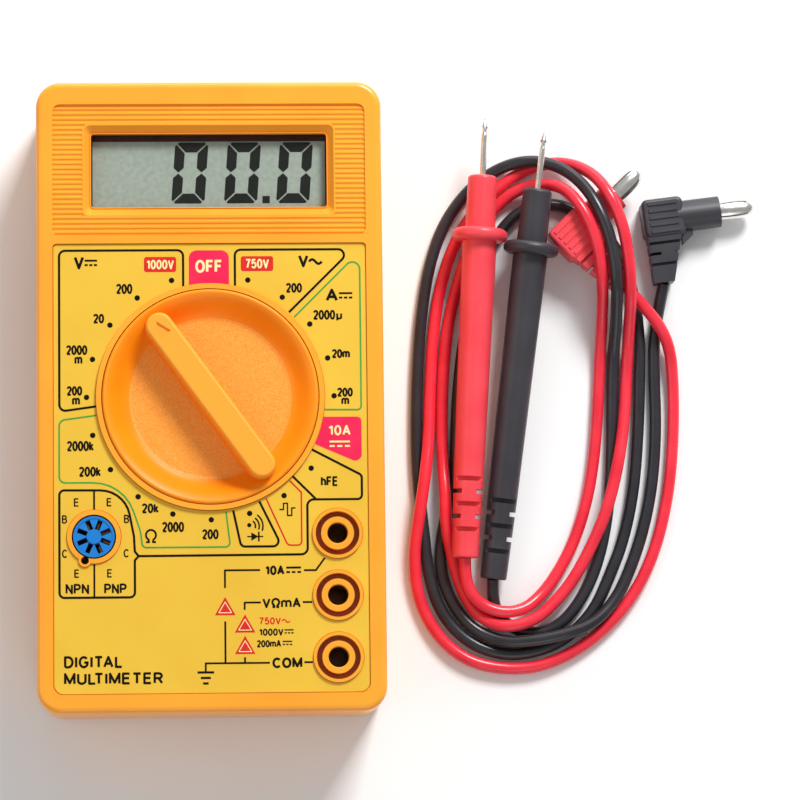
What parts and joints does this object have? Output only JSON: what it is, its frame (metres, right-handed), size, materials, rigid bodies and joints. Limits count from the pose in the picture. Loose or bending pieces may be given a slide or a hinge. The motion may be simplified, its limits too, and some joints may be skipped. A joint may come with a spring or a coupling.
{
  "type": "digital multimeter",
  "caption": "Hand-held digital multimeter with a liquid-crystal display, rotary range selector, three input jacks, transistor socket and a pair of test leads.",
  "frame": {"origin": "centre of the meter's rear face", "axes": "+Z out of the front panel, +Y towards the display end, +X towards the jacks' side"},
  "size_m": [0.1487, 0.128, 0.0273],
  "materials": {
    "case_orange": "fine moulded texture",
    "label_yellow": "satin printed foil",
    "knob_orange": "satin",
    "contact_bronze": "bright",
    "steel": "plain",
    "clear_window": "clear",
    "lcd_grey": "clear polariser",
    "reflector_foil": "matt foil",
    "frame_black": "matt",
    "zebra_rubber": "matt",
    "board_green": "solder mask",
    "epoxy_black": "gloss",
    "resistor_body": "lacquer",
    "film_green": "dipped",
    "can_sleeve": "shrink sleeve",
    "trimmer_blue": "matt",
    "trimmer_white": "matt",
    "shunt_alloy": "bright",
    "brass": "turned",
    "socket_blue": "gloss",
    "fuse_clear": "clear",
    "nickel_plate": "nickel plate",
    "battery_can": "printed can",
    "snap_black": "matt",
    "wire_red": "matt",
    "wire_black": "matt",
    "piezo_white": "silvered",
    "lead_red": "satin",
    "lead_black": "satin",
    "cord_red": "satin",
    "cord_black": "satin"
  },
  "bodies": {
    "meter": {"front_case": "case_orange", "rear_case": "case_orange", "panel_label": "label_yellow", "transistor_contacts": "contact_bronze", "fuse_clips": "contact_bronze", "case_screws": "steel", "board_screws": "steel", "lcd_window": "clear_window", "lcd_glass": "lcd_grey", "lcd_reflector": "reflector_foil", "lcd_frame": "frame_black", "zebra_strip": "zebra_rubber", "circuit_board": "board_green", "chip_blob": "epoxy_black", "resistors": "resistor_body", "film_capacitors": "film_green", "electrolytic_capacitor": "can_sleeve", "trimmer_body": "trimmer_blue", "shunt_wire": "shunt_alloy", "jack_sleeve_10a": "brass", "jack_sleeve_vohm": "brass", "jack_sleeve_com": "brass", "piezo_disc": "brass", "transistor_socket": "socket_blue", "fuse_glass": "fuse_clear", "fuse_caps": "nickel_plate", "battery_terminals": "nickel_plate", "battery_9v": "battery_can", "battery_snap": "snap_black", "battery_wire_red": "wire_red", "battery_wire_black": "wire_black", "buzzer_wires": "wire_black", "piezo_ceramic": "piezo_white"},
    "selector": {"selector_knob": "knob_orange", "wiper_contacts": "contact_bronze", "detent_spring_a": "steel", "detent_spring_b": "steel"},
    "ball_a": {"detent_ball_a": "steel"},
    "ball_b": {"detent_ball_b": "steel"},
    "trimmer": {"trimmer_rotor": "trimmer_white"},
    "test_leads": {"red_probe_handle": "lead_red", "red_probe_tip": "nickel_plate", "red_lead_cord": "cord_red", "red_plug_body": "lead_red", "red_plug_pin": "nickel_plate", "black_probe_handle": "lead_black", "black_probe_tip": "nickel_plate", "black_lead_cord": "cord_black", "black_plug_body": "lead_black", "black_plug_pin": "nickel_plate"}
  },
  "joints": [
    {"name": "selector_spin", "type": "hinge", "parent": "meter", "child": "selector", "pos_m": [0, -0.00045, 0.02], "axis": [0, 0, 1], "continuous": true},
    {"name": "detent_a", "type": "slide", "parent": "selector", "child": "ball_a", "axis": [0, 0, 1], "range_m": [0, 0.0004], "stiffness_N_per_m": 400, "springref_m": 0.0004, "deforming": ["detent_spring_a"]},
    {"name": "detent_b", "type": "slide", "parent": "selector", "child": "ball_b", "axis": [0, 0, 1], "range_m": [0, 0.0004], "stiffness_N_per_m": 400, "springref_m": 0.0004, "deforming": ["detent_spring_b"]},
    {"name": "trimmer_turn", "type": "hinge", "parent": "meter", "child": "trimmer", "pos_m": [0.014, 0.038, 0.011], "axis": [0, 0, 1], "range_deg": [-130, 130]},
    {"name": "leads_lift", "type": "slide", "parent": "meter", "child": "test_leads", "axis": [0, 0, 1], "range_m": [0, 0.05]}
  ]
}
